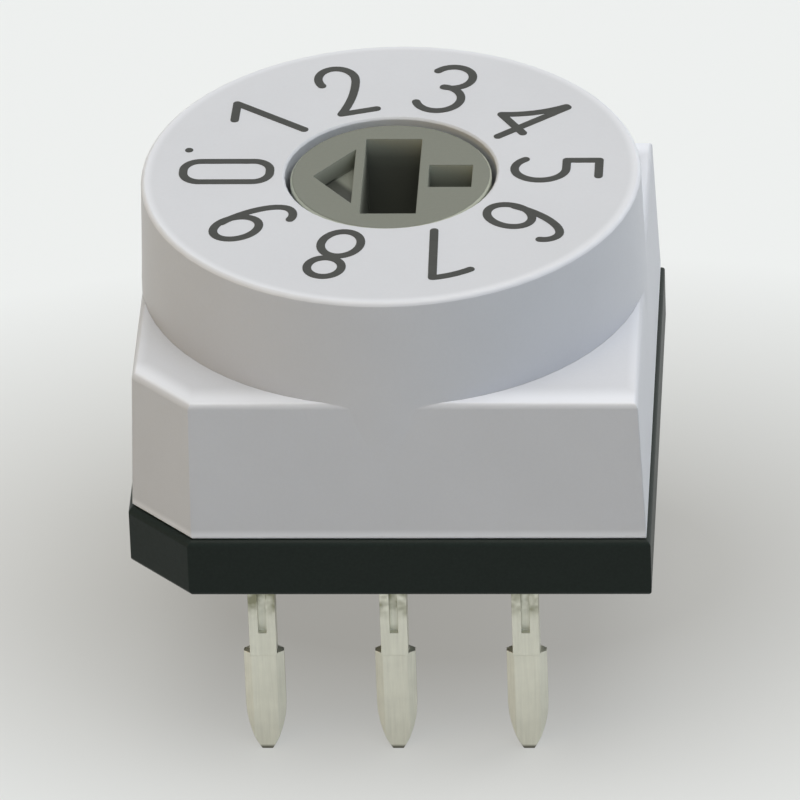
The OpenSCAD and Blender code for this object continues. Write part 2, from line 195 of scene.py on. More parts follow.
# Drawing of the numerals, in millimetres about a numeral's middle, with its top at +Y

DRAWN_HEIGHT = 1.68   # height of the drawn numerals between the middles of their strokes
ARC_STEP = 9          # degrees from one point of an arc to the next


def arc(x, y, rx, ry, start, end):
    """Points of an ellipse's arc about x, y, from one angle in degrees to another."""
    steps = max(2, round(abs(end - start) / ARC_STEP))
    angles = [math.radians(start + (end - start) * i / steps) for i in range(steps + 1)]
    return [(x + rx * math.cos(a), y + ry * math.sin(a)) for a in angles]


def loop(x, y, rx, ry):
    """Points of a whole ellipse, without the last one, which is the first."""
    return arc(x, y, rx, ry, 0, 360)[:-1]


def box_loop(half_w, half_h, r):
    """Points of a box with round corners."""
    corners = ((1, 1, 0), (-1, 1, 90), (-1, -1, 180), (1, -1, 270))
    return [p for sx, sy, a in corners for p in arc(sx * (half_w - r), sy * (half_h - r), r, r, a, a + 90)]


def bow(start, end, sag, steps=8):
    """Points from start to end, bowed to the right of the way by sag."""
    a, b = Vector(start), Vector(end)
    side = Vector((b.y - a.y, a.x - b.x)).normalized()
    shares = [i / steps for i in range(steps + 1)]
    return [tuple(a.lerp(b, t) + side * sag * 4 * t * (1 - t)) for t in shares]


def turned(strokes):
    """The same strokes upside down."""
    return [([(-x, -y) for x, y in points], closed) for points, closed in strokes]


def numeral_strokes(digit):
    """Strokes of a numeral, each as its points and whether it closes on itself."""
    six = [
        (loop(-0.02, -0.37, 0.365, 0.47), True),
        (arc(0.03, -0.1, 0.415, 0.94, 205, 90) + arc(0.03, 0.52, 0.32, 0.32, 81, 22), False),
    ]
    strokes = {
        0: [(box_loop(0.38, 0.84, 0.33), True)],
        1: [([(-0.3, 0.49), (0.2, 0.83)], False), ([(0.21, 0.84), (0.21, -0.84)], False)],
        2: [
            (arc(-0.13, 0.46, 0.36, 0.42, 200, -15) + bow((0.2, 0.27), (-0.385, -0.84), -0.06), False),
            ([(-0.385, -0.84), (0.32, -0.85)], False),
        ],
        3: [
            (arc(-0.13, 0.45, 0.39, 0.4, 158, -96), False),
            (arc(-0.12, -0.39, 0.44, 0.46, 96, -148), False),
        ],
        4: [
            (bow((-0.03, 0.84), (-0.53, -0.34), -0.09), False),
            ([(-0.53, -0.34), (0.3, -0.4)], False),
            ([(0.01, 0.84), (0.12, -0.86)], False),
        ],
        5: [
            ([(-0.385, 0.76), (0.2, 0.76)], False),
            ([(-0.385, 0.76), (-0.385, 0.13)], False),
            ([(-0.385, 0.13)] + arc(-0.08, -0.37, 0.43, 0.5, 90, -143), False),
        ],
        6: six,
        7: [(bow((-0.45, 0.73), (0.3, 0.8), -0.04), False), ([(0.32, 0.79), (-0.17, -0.84)], False)],
        8: [(loop(0, 0.49, 0.33, 0.34), True), (loop(0, -0.4, 0.375, 0.45), True)],
        9: turned(six),
    }
    return strokes[digit]


def stroke_sides(points, closed, half):
    """The points half a stroke to the left and to the right of a path."""
    path = [Vector(p) for p in points]
    left, right = [], []
    for i, here in enumerate(path):
        before = path[i - 1] if closed or i > 0 else here
        after = path[(i + 1) % len(path)] if closed or i < len(path) - 1 else here
        ways = [(b - a).normalized() for a, b in ((before, here), (here, after)) if (b - a).length > 1e-9]
        normals = [Vector((-way.y, way.x)) for way in ways]
        mitre = sum(normals, Vector((0, 0)))
        mitre *= half / mitre.dot(normals[0])
        left.append(here + mitre)
        right.append(here - mitre)
    return left, right


def round_cap(end, rim, steps=8):
    """Points of the half circle round a stroke's end, from its left rim clockwise."""
    spoke = rim - end
    return [end + Matrix.Rotation(-math.pi * i / steps, 2) @ spoke for i in range(1, steps)]


def stroke_loops(points, closed, half):
    """Outlines of a stroke: one loop with round ends, or two where it closes on itself."""
    left, right = stroke_sides(points, closed, half)
    if closed:
        return [left, right]
    first, last = Vector(points[0]), Vector(points[-1])
    return [left + round_cap(last, left[-1]) + right[::-1] + round_cap(first, right[0])]


def flat_solid(name, loops, thickness):
    """A flat solid with these outlines, from a filled curve made a mesh."""
    curve = bpy.data.curves.new(name, "CURVE")
    curve.dimensions = "2D"
    curve.fill_mode = "BOTH"
    curve.extrude = thickness / 2
    for outline in loops:
        spline = curve.splines.new("POLY")
        spline.points.add(len(outline) - 1)
        spline.points.foreach_set("co", [c for p in outline for c in (p.x, p.y, 0, 1)])
        spline.use_cyclic_u = True
    obj = bpy.data.objects.new(name, curve)
    bpy.context.scene.collection.objects.link(obj)
    select_only(obj)
    bpy.ops.object.convert(target="MESH")
    clean_mesh(obj, thickness / 20)
    return obj


def fuse(solids):
    """Joins overlapping solids into the first one."""
    whole, *others = solids
    for other in others:
        apply_modifier(whole, "BOOLEAN", operation="UNION", solver="EXACT", object=other)
        bpy.data.objects.remove(other)
    return whole


def make_numeral(digit, print_set):
    """One printed numeral, drawn in millimetres and set down on the dial."""
    scale = print_set.height / MM / DRAWN_HEIGHT
    half = print_set.stroke / MM / 2 / scale
    film = print_set.film / MM
    solids = [
        flat_solid(f"numeral_{digit}", stroke_loops(points, closed, half), film)
        for points, closed in numeral_strokes(digit)
    ]
    numeral = fuse(solids)
    bearing = math.radians(180 - 36 * digit)
    x = print_set.shift_x + print_set.ring * math.cos(bearing)
    y = print_set.shift_y + print_set.ring * math.sin(bearing)
    place = Matrix.Translation((x, y, DIAL_Z + print_set.film / 3))
    turn = Matrix.Rotation(bearing - math.pi / 2, 4, "Z")
    settle(numeral, place @ turn @ Matrix.Diagonal((scale * MM, scale * MM, MM, 1)))
    numeral.name = f"numeral_{digit}"
    return numeral


# Nodes of the materials

# Painted highlight and shade of the rotor, as depth in millimetres and share of RECESS_GAIN: its top, a
# painted highlight just below it, then painted shade down its recesses
RECESS_SHADES = (
    (0.0, 0.33), (0.008, 0.33), (0.02, 0.85), (0.1, 0.7),
    (0.22, 0.52), (0.42, 0.3), (0.65, 0.22), (1.0, 0.2),
)
RECESS_GAIN = 3.0
ARROW_ACROSS = (0.789, 0.615, 0)     # at right angles to the arrowhead's front wall
SHADOW_END = -0.62 * MM               # along it, where the painted shadow of that wall on the arrowhead's floor begins to thin
LIT_START = -0.46 * MM             # and where it has gone
SHADOWED_LEVEL, LIT_LEVEL = 0.3, 1.25             # levels of that floor, in the painted shadow and in the paler painted light beyond it
ROOT_STAIN_AND_SHADE = (0.28, 0.28, 0.19, 1)   # colour of root stains with painted shade, on the legs just below the base
BARE_TIP = (0.13, 0.13, 0.1, 1)      # of the cut ends of the legs
NOISE_ROUGHNESS = 0.55
EDGE_GAIN = 5.0                      # from the bend of the normal to the mask of an edge
EDGE_SHARE = 0.6                     # of the mask in a moulding's colour
CORNER_SHADE = 0.45               # of the painted shade in the inner corner at the drum's foot, as a share of the colour
RIM_HIGHLIGHT = 0.55                     # strength of the painted highlight on the dial's rim, against the shoulder's front and rear
SIDE_HIGHLIGHT = 0.35                    # and on the shoulder's sides


def add_node(tree, kind, values=None, **settings):
    """Adds a node with these settings, and sets or links its inputs by name or number."""
    node = tree.nodes.new(kind)
    for key, value in settings.items():
        setattr(node, key, value)
    for key, value in (values or {}).items():
        if isinstance(value, bpy.types.NodeSocket):
            tree.links.new(value, node.inputs[key])
        else:
            node.inputs[key].default_value = value
    return node


def calculate(tree, operation, *values, clamp=False):
    """A Math node on numbers or sockets, as its output."""
    return add_node(
        tree, "ShaderNodeMath", dict(enumerate(values)), operation=operation, use_clamp=clamp
    ).outputs[0]


def calculate_all(tree, operation, first, *others):
    """One Math operation over several values, such as the product or the largest of them."""
    for other in others:
        first = calculate(tree, operation, first, other)
    return first


def blend_colours(tree, factor, first, second):
    """A Mix node from the first colour to the second, as its output."""
    return add_node(tree, "ShaderNodeMix", {0: factor, 6: first, 7: second}, data_type="RGBA").outputs[2]


def blend_numbers(tree, factor, first, second):
    """A Mix node from the first number to the second, as its output."""
    return add_node(tree, "ShaderNodeMix", {0: factor, 2: first, 3: second}, data_type="FLOAT").outputs[0]


def rise(tree, value, start, end, low=0.0, high=1.0, soft=True):
    """Low at start and high at end, and level beyond them. Soft has no kink at either."""
    return add_node(
        tree, "ShaderNodeMapRange",
        {"Value": value, "From Min": start, "From Max": end, "To Min": low, "To Max": high},
        interpolation_type="SMOOTHSTEP" if soft else "LINEAR",
    ).outputs["Result"]


def spread(tree, value, low, high):
    """Maps 0 to 1 onto low to high."""
    return rise(tree, value, 0.0, 1.0, low, high, soft=False)


def place_of(tree):
    """The place on the piece, in metres in the frame's axes."""
    return add_node(tree, "ShaderNodeTexCoord").outputs["Object"]


def split(tree, vector):
    """The X, Y and Z of a vector."""
    return add_node(tree, "ShaderNodeSeparateXYZ", {0: vector}).outputs


def multiply_vectors(tree, first, second):
    """Product of two vectors, one axis at a time."""
    return add_node(tree, "ShaderNodeVectorMath", {0: first, 1: second}, operation="MULTIPLY").outputs[0]


def scale_vector(tree, vector, factor):
    """A vector or colour times a number."""
    return add_node(
        tree, "ShaderNodeVectorMath", {0: vector, "Scale": factor}, operation="SCALE"
    ).outputs[0]


def dot_product(tree, first, second):
    """Dot product of two vectors."""
    return add_node(
        tree, "ShaderNodeVectorMath", {0: first, 1: second}, operation="DOT_PRODUCT"
    ).outputs["Value"]


def length_of(tree, vector):
    """Length of a vector."""
    return add_node(tree, "ShaderNodeVectorMath", {0: vector}, operation="LENGTH").outputs["Value"]


def shade_of(rgba, factor):
    """A colour made darker or paler by a factor, in full cover."""
    return tuple(min(1.0, factor * c) for c in rgba[:3]) + (1.0,)


def new_group(name, inputs, outputs):
    """An empty shader group with named sockets, as the group and its input and output nodes."""
    group = bpy.data.node_groups.new(name, "ShaderNodeTree")
    kinds = {"number": "NodeSocketFloat", "colour": "NodeSocketColor", "vector": "NodeSocketVector"}
    for label, kind, value in inputs:
        socket = group.interface.new_socket(label, in_out="INPUT", socket_type=kinds[kind])
        socket.default_value = value
    for label, kind in outputs:
        group.interface.new_socket(label, in_out="OUTPUT", socket_type=kinds[kind])
    return group, group.nodes.new("NodeGroupInput"), group.nodes.new("NodeGroupOutput")


def place_noise(tree, size, detail, stretch=None):
    """Noise on object coordinates whose patches have this size, in metres, as its value."""
    where = place_of(tree)
    if stretch:
        where = multiply_vectors(tree, where, stretch)
    scale = calculate(tree, "DIVIDE", 1.0, size)
    return add_node(
        tree, "ShaderNodeTexNoise",
        {"Vector": where, "Scale": scale, "Detail": detail, "Roughness": NOISE_ROUGHNESS},
    ).outputs[0]


def drift_group():
    """Slow change of a colour's brightness over the surface."""
    group, given, result = new_group(
        "Colour drift",
        [("Color", "colour", (0.5, 0.5, 0.5, 1)), ("Size", "number", 0.003), ("Amount", "number", 0.05)],
        [("Color", "colour")],
    )
    noise = place_noise(group, given.outputs["Size"], 3.0)
    centred = calculate(group, "SUBTRACT", noise, 0.5)
    change = calculate(group, "MULTIPLY_ADD", centred, given.outputs["Amount"], 1.0)
    group.links.new(scale_vector(group, given.outputs["Color"], change), result.inputs["Color"])
    return group


def grain_group():
    """Fine grain of a moulded or plated surface, as a height in metres and a mask."""
    group, given, result = new_group(
        "Fine grain",
        [("Size", "number", 7e-5), ("Depth", "number", 1e-6)],
        [("Height", "number"), ("Mask", "number")],
    )
    noise = place_noise(group, given.outputs["Size"], 2.0)
    group.links.new(calculate(group, "MULTIPLY", noise, given.outputs["Depth"]), result.inputs["Height"])
    group.links.new(noise, result.inputs["Mask"])
    return group


def edge_group():
    """Rounded look of sharp edges, as a normal and a mask that is 1 along them."""
    group, given, result = new_group(
        "Soft edge",
        [("Radius", "number", 3e-5)],
        [("Normal", "vector"), ("Mask", "number")],
    )
    rounded = add_node(group, "ShaderNodeBevel", {"Radius": given.outputs["Radius"]}, samples=6).outputs[0]
    flat = add_node(group, "ShaderNodeNewGeometry").outputs["Normal"]
    bend = calculate(group, "SUBTRACT", 1.0, dot_product(group, rounded, flat))
    mask = calculate(group, "MULTIPLY", bend, EDGE_GAIN, clamp=True)
    group.links.new(rounded, result.inputs["Normal"])
    group.links.new(mask, result.inputs["Mask"])
    return group


def rolled_group():
    """Fine lines that rolling and stamping leave along a strip of metal."""
    group, given, result = new_group(
        "Rolled lines",
        [("Size", "number", 4e-5)],
        [("Mask", "number")],
    )
    noise = place_noise(group, given.outputs["Size"], 3.0, stretch=(1.0, 1.0, 0.06))
    group.links.new(noise, result.inputs["Mask"])
    return group


def group_node(tree, name, values):
    """Places a group in a material, and makes the group the first time."""
    makers = {
        "Colour drift": drift_group, "Fine grain": grain_group,
        "Soft edge": edge_group, "Rolled lines": rolled_group,
    }
    group = bpy.data.node_groups.get(name) or makers[name]()
    return add_node(tree, "ShaderNodeGroup", values, node_tree=group)


def new_material(name):
    """A material with an empty Principled shader, as the material, its tree and the shader."""
    material = bpy.data.materials.new(name)
    material.use_nodes = True
    tree = material.node_tree
    return material, tree, tree.nodes["Principled BSDF"]


def feed(tree, shader, normal=None, height=None, **sockets):
    """Links colours and masks to the shader's sockets, and a height to its normal."""
    for label, value in sockets.items():
        tree.links.new(value, shader.inputs[label.replace("_", " ").title()])
    if height is not None:
        bump = add_node(tree, "ShaderNodeBump", {"Height": height, "Strength": 1.0, "Distance": 1.0})
        if normal is not None:
            tree.links.new(normal, bump.inputs["Normal"])
        normal = bump.outputs[0]
    if normal is not None:
        tree.links.new(normal, shader.inputs["Normal"])


def paint_recess_shade(tree, colour_in):
    """The rotor's colour by depth: a painted highlight just below the top, then painted shade down its
    recesses.

    A painted shadow of its front wall lies on the arrowhead's floor, which is paler beyond it.
    """
    where = place_of(tree)
    part = split(tree, where)
    depth = calculate(tree, "SUBTRACT", ROTOR_Z, part["Z"])
    millimetres = calculate(tree, "DIVIDE", depth, MM, clamp=True)
    # Painted highlight just below the top and painted shade down the recesses, by depth.
    ramp = add_node(tree, "ShaderNodeValToRGB", {0: millimetres})
    points = ramp.color_ramp.elements
    while len(points) < len(RECESS_SHADES):
        points.new(0.5)
    for point, (position, level) in zip(points, RECESS_SHADES):
        point.position = position
        point.color = (level, level, level, 1)
    # Painted shadow of the arrowhead's front wall on its floor, and paler painted light beyond it.
    across = dot_product(tree, where, ARROW_ACROSS)
    arrow_floor_shade = rise(tree, across, SHADOW_END, LIT_START, SHADOWED_LEVEL, LIT_LEVEL)
    arrow_floor = calculate(
        tree, "MULTIPLY", calculate(tree, "COMPARE", depth, ARROW_DEPTH, 0.05 * MM),
        calculate(tree, "LESS_THAN", part["X"], ARROW_RIGHT),
    )
    painted_floor_shadow = blend_numbers(tree, arrow_floor, 1.0, arrow_floor_shade)
    level = calculate_all(tree, "MULTIPLY", ramp.outputs[0], RECESS_GAIN, painted_floor_shadow)
    return scale_vector(tree, colour_in, level)


def housing_painted_light(tree, band):
    """Masks of painted highlight along the housing's outer edges, in a band this wide, and of painted shade
    at the drum's foot.
    """
    where = place_of(tree)
    part = split(tree, where)
    x, y, z = part["X"], part["Y"], part["Z"]
    radius = length_of(tree, multiply_vectors(tree, where, (1, 1, 0)))

    # Painted highlight along the dial's rim.
    rim = rise(tree, radius, RIM_RADIUS - 0.7 * band, RIM_RADIUS - 0.25 * band, high=RIM_HIGHLIGHT)
    rim = calculate(tree, "MULTIPLY", rim, calculate(tree, "GREATER_THAN", z, DIAL_Z - 0.07 * MM))

    # Painted highlight along the shoulder's front, rear, cut corner and sides, on its upward faces.
    cut_side = calculate_all(tree, "ADD", x, y, SHOULDER_HALF - CORNER_CUT)
    outward = calculate(
        tree, "MAXIMUM", calculate(tree, "ABSOLUTE", y), calculate(tree, "MULTIPLY", cut_side, -1.0)
    )
    ends = rise(tree, outward, SHOULDER_HALF - 2.0 * band, SHOULDER_HALF - 0.5 * band)
    sideways = calculate(tree, "ABSOLUTE", x)
    sides = rise(
        tree, sideways, SHOULDER_HALF - 0.8 * band, SHOULDER_HALF - 0.3 * band, high=SIDE_HIGHLIGHT
    )
    upward = split(tree, add_node(tree, "ShaderNodeNewGeometry").outputs["Normal"])["Z"]
    ledge = calculate_all(
        tree, "MULTIPLY", calculate(tree, "MAXIMUM", ends, sides),
        calculate(tree, "COMPARE", z, SHOULDER_Z, 0.1 * MM), rise(tree, upward, 0.7, 0.95),
    )

    # Painted highlight just above the seam.
    seam = rise(tree, z, SEAM_Z + 0.7 * band, SEAM_Z + 0.25 * band)
    # Painted shade in the inner corner at the drum's foot.
    foot = calculate(
        tree, "MULTIPLY", calculate(tree, "COMPARE", radius, FOOT_RADIUS, 0.12 * MM),
        calculate(tree, "COMPARE", z, SHOULDER_Z + 0.2 * MM, 0.25 * MM),
    )
    return calculate_all(tree, "MAXIMUM", rim, ledge, seam), foot


def moulded_plastic(
    name, base, finish, speckle, wear_and_highlight, grain_depth, roughness, gloss, painted_masks=None, shade_painter=None
):
    """Satin moulding: slow drift, fine speckle, grain, and edges that are a little paler and smoother.

    Edges are paler by the wear factor, partly as wear and partly as a painted highlight. The optional masks
    are of painted highlight bands and of painted shade in an inner corner, and the optional shading paints
    highlight and shade by place.
    """
    material, tree, shader = new_material(name)
    shader.inputs["Specular IOR Level"].default_value = gloss
    edge = group_node(tree, "Soft edge", {"Radius": finish.soft_edge})
    grain = group_node(tree, "Fine grain", {"Size": finish.grain, "Depth": grain_depth})
    drift = group_node(tree, "Colour drift", {"Color": base, "Size": 2.4 * MM, "Amount": 0.09})
    fine = group_node(
        tree, "Colour drift", {"Color": drift.outputs[0], "Size": 0.06 * MM, "Amount": speckle}
    )
    edges = calculate(tree, "MULTIPLY", edge.outputs["Mask"], EDGE_SHARE)
    surface = fine.outputs[0]
    if painted_masks:
        # Bands of painted highlight, and painted shade in an inner corner.
        highlight_bands, corner = painted_masks(tree, finish.highlight_band)
        in_corner = calculate(tree, "MULTIPLY", edges, corner)
        surface = blend_colours(tree, in_corner, surface, shade_of(base, CORNER_SHADE))
        outside = calculate(tree, "MULTIPLY", edges, calculate(tree, "SUBTRACT", 1.0, corner))
        edges = calculate(tree, "MAXIMUM", outside, highlight_bands)
    # Paler edges: partly wear, partly painted highlight.
    surface = blend_colours(tree, edges, surface, shade_of(base, wear_and_highlight))
    if shade_painter:
        surface = shade_painter(tree, surface)
    rough = spread(tree, grain.outputs["Mask"], roughness - 0.06, roughness + 0.08)
    feed(
        tree, shader, base_color=surface,
        roughness=calculate(tree, "MULTIPLY_ADD", edges, -0.1, rough),
        normal=edge.outputs["Normal"], height=grain.outputs["Height"],
    )
    return material


def tinned_metal(finish):
    """Satin tin with dull rolled lines, flux stains with painted shade below the base, and bare metal at the
    cut tips.
    """
    material, tree, shader = new_material("satin_tin")
    shader.inputs["Metallic"].default_value = 0.65
    edge = group_node(tree, "Soft edge", {"Radius": 0.6 * finish.soft_edge})
    lines = group_node(tree, "Rolled lines", {"Size": 0.05 * MM})
    grain = group_node(tree, "Fine grain", {"Size": 0.03 * MM, "Depth": 0.5e-6})
    drift = group_node(tree, "Colour drift", {"Color": finish.tin, "Size": 0.5 * MM, "Amount": 0.25})
    height = split(tree, place_of(tree))["Z"]
    dull = spread(tree, lines.outputs[0], -0.1, 0.35)
    surface = blend_colours(tree, dull, drift.outputs[0], shade_of(finish.tin, 0.55))
    # Stains with painted shade on the legs just below the base, in patches.
    root = rise(tree, height, -1.25 * MM, -0.8 * MM)
    patches = spread(tree, place_noise(tree, 0.3 * MM, 2.0), -1.1, 2.3)
    stain_and_shade = calculate(tree, "MULTIPLY", root, patches, clamp=True)
    surface = blend_colours(tree, stain_and_shade, surface, ROOT_STAIN_AND_SHADE)
    tip = rise(tree, height, FLOOR_Z + 0.1 * MM, FLOOR_Z + 0.02 * MM)
    surface = blend_colours(tree, tip, surface, BARE_TIP)
    feed(
        tree, shader, base_color=surface, roughness=spread(tree, lines.outputs[0], 0.3, 0.52),
        normal=edge.outputs["Normal"], height=grain.outputs["Height"],
    )
    return material


def bright_metal(name, base, finish, roughness):
    """Plated or rolled strip inside the housing."""
    material, tree, shader = new_material(name)
    shader.inputs["Metallic"].default_value = 1.0
    edge = group_node(tree, "Soft edge", {"Radius": 0.5 * finish.soft_edge})
    grain = group_node(tree, "Fine grain", {"Size": 0.04 * MM, "Depth": 0.3e-6})
    drift = group_node(tree, "Colour drift", {"Color": base, "Size": 0.8 * MM, "Amount": 0.15})
    feed(
        tree, shader, base_color=drift.outputs[0],
        roughness=spread(tree, grain.outputs["Mask"], roughness - 0.05, roughness + 0.1),
        normal=edge.outputs["Normal"], height=grain.outputs["Height"],
    )
    return material


def seal_rubber(finish):
    """Matt black rubber with a fine bloom."""
    material, tree, shader = new_material("seal_rubber")
    grain = group_node(tree, "Fine grain", {"Size": 0.05 * MM, "Depth": 1.5e-6})
    drift = group_node(tree, "Colour drift", {"Color": finish.rubber, "Size": 0.6 * MM, "Amount": 0.5})
    feed(
        tree, shader, base_color=drift.outputs[0],
        roughness=spread(tree, grain.outputs["Mask"], 0.55, 0.75), height=grain.outputs["Height"],
    )
    return material


def cast_resin(finish):
    """Cast resin: dark, smooth and a little wavy, with duller patches."""
    material, tree, shader = new_material("cast_resin")
    waves = group_node(tree, "Fine grain", {"Size": 0.7 * MM, "Depth": 2.5e-5})
    drift = group_node(tree, "Colour drift", {"Color": finish.resin, "Size": 0.9 * MM, "Amount": 0.5})
    feed(
        tree, shader, base_color=drift.outputs[0],
        roughness=spread(tree, waves.outputs["Mask"], 0.12, 0.4), height=waves.outputs["Height"],
    )
    return material


def printing_ink(print_set):
    """Ink that is a little thinner in places."""
    material, tree, shader = new_material("printing_ink")
    shader.inputs["Specular IOR Level"].default_value = 0.35
    grain = group_node(tree, "Fine grain", {"Size": 0.05 * MM, "Depth": 1.2e-6})
    drift = group_node(tree, "Colour drift", {"Color": print_set.ink, "Size": 0.3 * MM, "Amount": 0.7})
    feed(
        tree, shader, base_color=drift.outputs[0],
        roughness=spread(tree, grain.outputs["Mask"], 0.42, 0.6), height=grain.outputs["Height"],
    )
    return material


def dress(material, *nodes):
    """Gives CAD nodes a material through their objects' slots."""
    for name in nodes:
        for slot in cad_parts[name].material_slots:
            slot.material = material


# Operators

class SWITCH_OT_numerals(bpy.types.Operator):
    """Print the ten numerals round the dial"""

    bl_idname = "switch.numerals"
    bl_label = "Dial numerals"

    def execute(self, context):
        print_set = context.scene.switch_print
        ink = printing_ink(print_set)
        for digit in range(10):
            numeral = make_numeral(digit, print_set)
            numeral.data.materials.append(ink)
            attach(numeral, BODY)
        return {"FINISHED"}


class SWITCH_OT_index_dot(bpy.types.Operator):
    """Print the small dot beside the first numeral"""

    bl_idname = "switch.index_dot"
    bl_label = "Index dot"

    def execute(self, context):
        print_set = context.scene.switch_print
        bpy.ops.object.select_all(action="DESELECT")
        bpy.ops.mesh.primitive_cylinder_add(
            vertices=24, radius=print_set.dot_radius, depth=print_set.film,
            location=(-print_set.dot_x, print_set.dot_y, DIAL_Z + print_set.film / 3),
        )
        dot = context.object
        dot.name = "index_dot"
        apply_modifier(dot, "BEVEL", width=print_set.film / 3, segments=2)
        settle(dot, dot.matrix_world)
        dot.data.materials.append(bpy.data.materials["printing_ink"])
        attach(dot, BODY)
        return {"FINISHED"}


class SWITCH_OT_finish_housing(bpy.types.Operator):
    """Give the housing its light grey moulded finish"""

    bl_idname = "switch.finish_housing"
    bl_label = "Housing finish"

    def execute(self, context):
        finish = context.scene.switch_finish
        grey = moulded_plastic(
            "housing_grey", finish.housing, finish, speckle=0.04, wear_and_highlight=1.3, grain_depth=1.2e-6,
            roughness=0.45, gloss=0.4, painted_masks=housing_painted_light,
        )
        dress(grey, "housing")
        return {"FINISHED"}


class SWITCH_OT_finish_base(bpy.types.Operator):
    """Give the base its black moulded finish"""

    bl_idname = "switch.finish_base"
    bl_label = "Base finish"

    def execute(self, context):
        finish = context.scene.switch_finish
        black = moulded_plastic(
            "base_black", finish.base, finish, speckle=0.5, wear_and_highlight=1.8, grain_depth=1.5e-6,
            roughness=0.42, gloss=0.12,
        )
        dress(black, "base")
        return {"FINISHED"}


class SWITCH_OT_finish_rotor(bpy.types.Operator):
    """Give the rotor its grey-green moulded finish"""

    bl_idname = "switch.finish_rotor"
    bl_label = "Rotor finish"

    def execute(self, context):
        finish = context.scene.switch_finish
        green = moulded_plastic(
            "rotor_green", finish.rotor, finish, speckle=0.1, wear_and_highlight=1.35, grain_depth=1.2e-6,
            roughness=0.48, gloss=0.3, shade_painter=paint_recess_shade,
        )
        dress(green, "rotor")
        return {"FINISHED"}


class SWITCH_OT_finish_terminals(bpy.types.Operator):
    """Give the terminals their satin tin plating"""

    bl_idname = "switch.finish_terminals"
    bl_label = "Terminal finish"

    def execute(self, context):
        names = [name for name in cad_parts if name.startswith("terminal_")]
        dress(tinned_metal(context.scene.switch_finish), *names)
        return {"FINISHED"}


class SWITCH_OT_finish_works(bpy.types.Operator):
    """Give the code disc and the detent springs their bright metal"""

    bl_idname = "switch.finish_works"
    bl_label = "Works finish"

    def execute(self, context):
        finish = context.scene.switch_finish
        dress(bright_metal("plated_gold", finish.gold, finish, 0.22), "code_disc")
        dress(
            bright_metal("rolled_steel", finish.steel, finish, 0.28),
            "detent_spring_left", "detent_spring_right",
        )
        return {"FINISHED"}


class SWITCH_OT_finish_seals(bpy.types.Operator):
    """Give the O-ring and the cast resin their finish"""

    bl_idname = "switch.finish_seals"
    bl_label = "Seal finish"

    def execute(self, context):
        finish = context.scene.switch_finish
        dress(seal_rubber(finish), "rotor_seal")
        dress(cast_resin(finish), "resin_front", "resin_rear")
        return {"FINISHED"}


# Stage

FLOOR_RADIUS = 1.2
LAMP_DISTANCE = 0.8
SHADE_SQUEEZE = (0.62, 1, 0)              # makes the floor's painted shadow an oval that is wider than deep
SHADE_SHIFT = (-0.6 * MM, -2.4 * MM, 0)   # puts the oval's middle behind the axis and right of it
SHADE_NEAR = 3.2 * MM                     # half the oval's depth where the painted shadow begins to fade
SHADE_FAR = 12 * MM                       # and where it has gone
FRONT_LEFT = (-0.8, -0.6, 0)


def sight_rays(tree):
    """1 where the camera, a reflection or a refraction looks, and 0 where light is gathered."""
    path = add_node(tree, "ShaderNodeLightPath")
    looks = calculate(tree, "ADD", path.outputs["Is Camera Ray"], path.outputs["Is Glossy Ray"])
    return calculate(tree, "ADD", looks, path.outputs["Is Transmission Ray"], clamp=True)


def floor_material(stage):
    """Matt pale floor that isn't seen from below, with a glow that is darker round the switch as a painted
    shadow.
    """
    material, tree, shader = new_material("floor_pale")
    drift = group_node(tree, "Colour drift", {"Color": stage.floor, "Size": 40 * MM, "Amount": 0.02})
    shader.inputs["Roughness"].default_value = 0.9
    shader.inputs["Specular IOR Level"].default_value = 0.15
    tree.links.new(drift.outputs[0], shader.inputs["Base Color"])
    oval = add_node(
        tree, "ShaderNodeMapping",
        {"Vector": place_of(tree), "Location": SHADE_SHIFT, "Scale": SHADE_SQUEEZE},
    ).outputs[0]
    # Painted shadow: the glow is darker in an oval round the switch.
    fade = rise(tree, length_of(tree, oval), SHADE_NEAR, SHADE_FAR, soft=False)
    glow_colour = blend_colours(tree, fade, stage.shade, stage.glow)
    glow = add_node(tree, "ShaderNodeEmission", {"Color": glow_colour})
    glowing = calculate(tree, "MULTIPLY", sight_rays(tree), stage.glow_share)
    lit = add_node(tree, "ShaderNodeMixShader", {0: glowing, 1: shader.outputs[0], 2: glow.outputs[0]})
    clear = add_node(tree, "ShaderNodeBsdfTransparent")
    below = add_node(tree, "ShaderNodeNewGeometry").outputs["Backfacing"]
    mix = add_node(tree, "ShaderNodeMixShader", {0: below, 1: lit.outputs[0], 2: clear.outputs[0]})
    tree.links.new(mix.outputs[0], tree.nodes["Material Output"].inputs["Surface"])
    return material


def make_floor(stage):
    """Round floor at the tips of the legs."""
    bpy.ops.object.select_all(action="DESELECT")
    bpy.ops.mesh.primitive_circle_add(
        vertices=96, radius=FLOOR_RADIUS, fill_type="NGON", location=(0, 0, FLOOR_Z)
    )
    floor = bpy.context.object
    floor.name = "floor"
    floor.data.materials.append(floor_material(stage))


